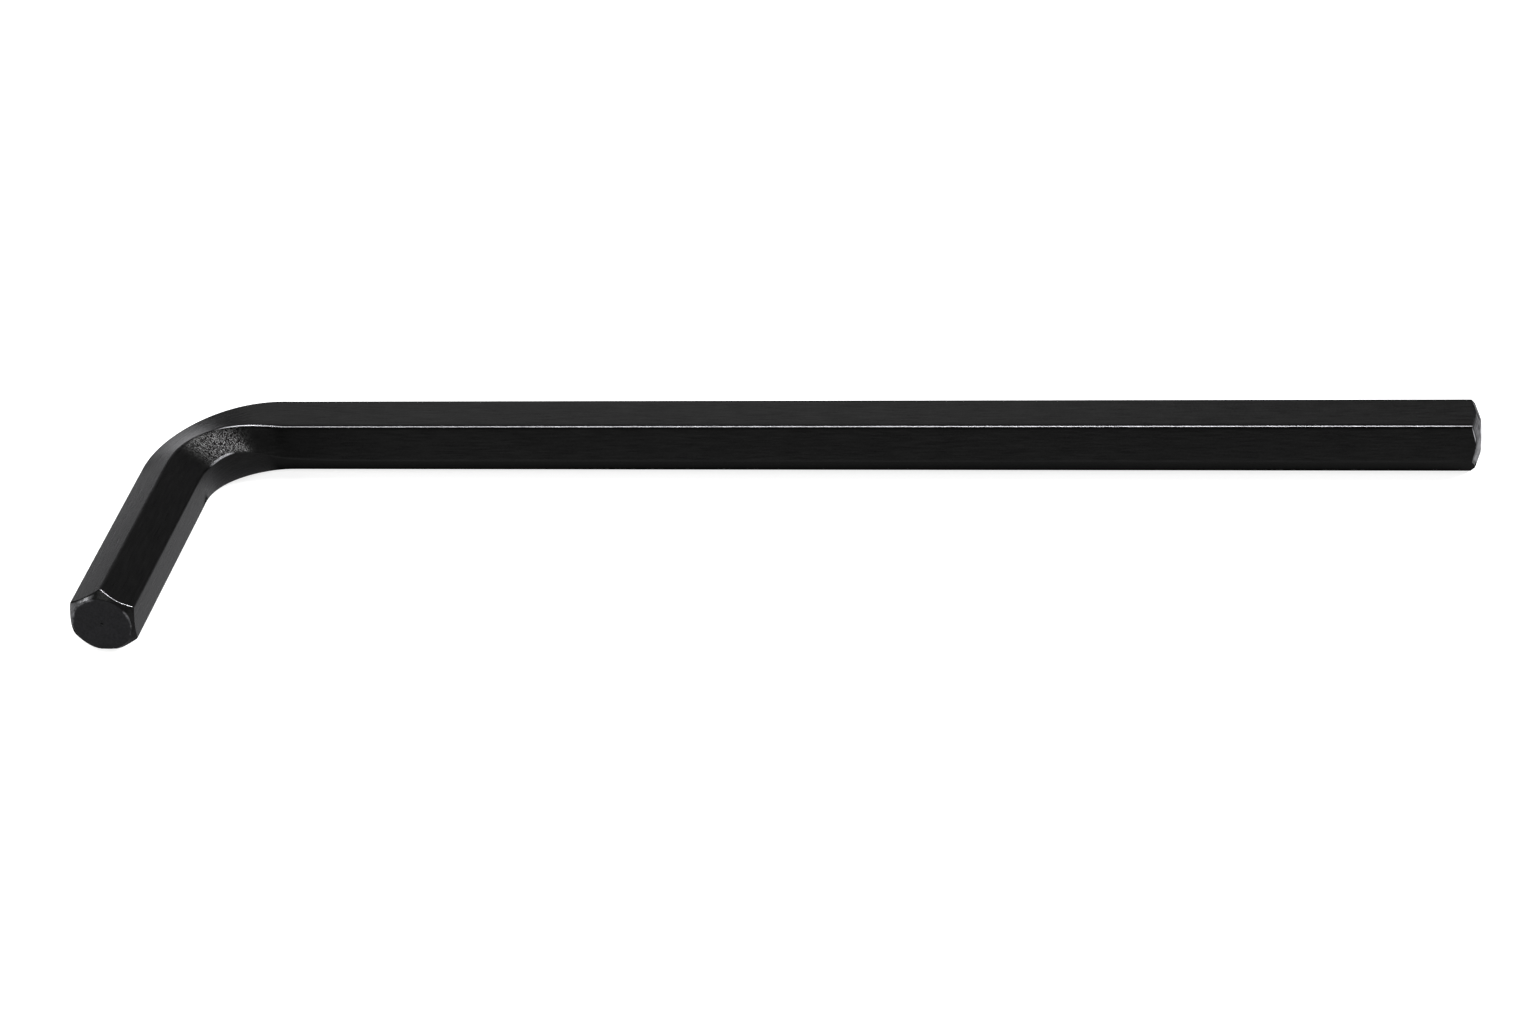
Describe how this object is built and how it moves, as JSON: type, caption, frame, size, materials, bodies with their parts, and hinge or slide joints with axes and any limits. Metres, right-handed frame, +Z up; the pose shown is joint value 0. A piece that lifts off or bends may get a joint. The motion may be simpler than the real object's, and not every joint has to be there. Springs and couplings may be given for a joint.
{
  "type": "hex key",
  "caption": "L-shaped hexagon key bent from black-finished steel bar; its tips turn screws with a hexagon socket in the head.",
  "frame": {"origin": "middle of the footprint, on the surface that the key lies on", "axes": "+X along the long arm towards its tip, -Y along the short arm towards its tip, +Z up, square to the plane of the bend"},
  "size_m": [0.147, 0.041, 0.008],
  "materials": {
    "blackened_steel": "black oxide, satin, with a faint lengthwise draw grain"
  },
  "bodies": {
    "root": {"hex_key": "blackened_steel"}
  },
  "joints": []
}
